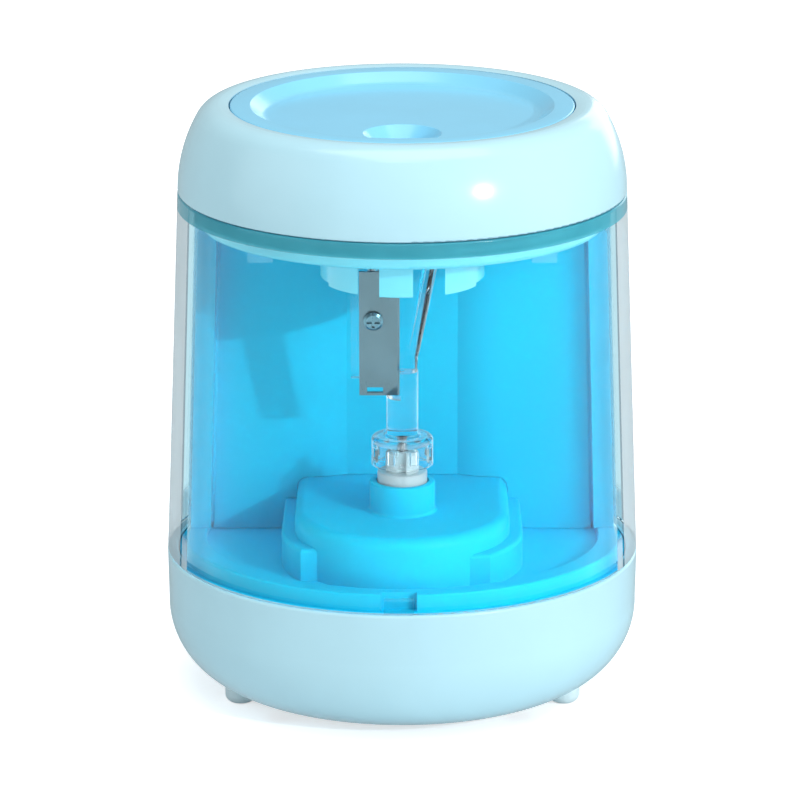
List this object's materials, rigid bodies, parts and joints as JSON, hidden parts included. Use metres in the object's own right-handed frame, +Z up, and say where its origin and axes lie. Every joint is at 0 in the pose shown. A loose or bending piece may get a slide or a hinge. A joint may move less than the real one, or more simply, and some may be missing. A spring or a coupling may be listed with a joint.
{
  "type": "electric pencil sharpener",
  "caption": "Round motor-driven desktop pencil sharpener with a pale blue base and cap, a clear lift-off shavings chamber, a spinning clear blade carrier and a pencil hole in its dished top.",
  "frame": {"origin": "on the table under the middle of the round base", "axes": "+Z up, -Y towards the front where the cutter is seen, +X to the viewer's right"},
  "size_m": [0.088, 0.088, 0.1109],
  "materials": {
    "pale_blue": "satin moulded plastic",
    "bright_blue": "glossy moulded plastic",
    "sky_blue": "satin moulded plastic",
    "aqua": "glossy moulded plastic",
    "clear": "clear moulded plastic",
    "pad": "soft moulded pad",
    "white": "moulded acetal",
    "steel": "ground steel",
    "can_steel": "plated drawn steel",
    "black_plastic": "moulded plastic",
    "iron": "sintered and laminated iron",
    "copper": "copper alloy",
    "bronze": "sintered bronze",
    "cell": "wrapped cell, density close to an AA cell",
    "screw_steel": "zinc plated steel"
  },
  "bodies": {
    "housing": {"base_shell": "pale_blue", "rubber_feet": "pad", "battery_box": "white", "battery_cells": "cell", "battery_contacts": "can_steel", "floor_tray": "bright_blue", "partition_wall": "bright_blue", "rear_cover": "bright_blue", "gearbox_plate": "white", "idler_pin": "steel", "motor_can": "can_steel", "motor_end_cap": "white", "motor_magnets": "iron", "motor_terminals": "copper", "hub_bush": "bronze", "switch_body": "black_plastic", "chassis_screws": "screw_steel", "gearbox_screws": "screw_steel", "motor_screws": "screw_steel"},
    "rotor": {"motor_shaft": "steel", "armature": "iron", "commutator": "copper", "pinion": "bronze"},
    "idler": {"idler_gear": "white"},
    "drive": {"final_gear": "white", "drive_shaft": "steel", "drive_post": "white"},
    "cutter": {"cutter_carrier": "clear", "blade": "steel", "blade_screw": "steel", "push_rod": "steel"},
    "button": {"switch_button": "white"},
    "cover": {"clear_sleeve": "clear", "top_cap": "pale_blue", "top_insert": "sky_blue", "guide_plate": "aqua", "cover_screws": "screw_steel"},
    "door": {"battery_door": "pale_blue"}
  },
  "joints": [
    {"name": "motor_spin", "type": "hinge", "parent": "housing", "child": "rotor", "pos_m": [0, 0.0215, 0.05], "axis": [0, 0, 1], "continuous": true},
    {"name": "idler_spin", "type": "hinge", "parent": "housing", "child": "idler", "pos_m": [0.00136, 0.00355, 0.03], "axis": [0, 0, 1], "continuous": true},
    {"name": "cutter_spin", "type": "hinge", "parent": "housing", "child": "drive", "pos_m": [0, -0.0156, 0.04], "axis": [0, 0, 1], "continuous": true},
    {"name": "cutter_press", "type": "slide", "parent": "drive", "child": "cutter", "axis": [0, 0, -1], "range_m": [0, 0.001], "stiffness_N_per_m": 400, "springref_m": -0.002},
    {"name": "switch_press", "type": "slide", "parent": "housing", "child": "button", "axis": [0, 0, -1], "range_m": [0, 0.001]},
    {"name": "cover_lift", "type": "slide", "parent": "housing", "child": "cover", "axis": [0, 0, 1], "range_m": [0, 0.075]},
    {"name": "door_drop", "type": "slide", "parent": "housing", "child": "door", "axis": [0, 0, -1], "range_m": [0, 0.025]}
  ],
  "couplings": [
    {"joint": "idler_spin", "follows": "motor_spin", "ratio": -0.25},
    {"joint": "cutter_spin", "follows": "motor_spin", "ratio": 0.07},
    {"joint": "switch_press", "follows": "cutter_press", "ratio": 1}
  ]
}
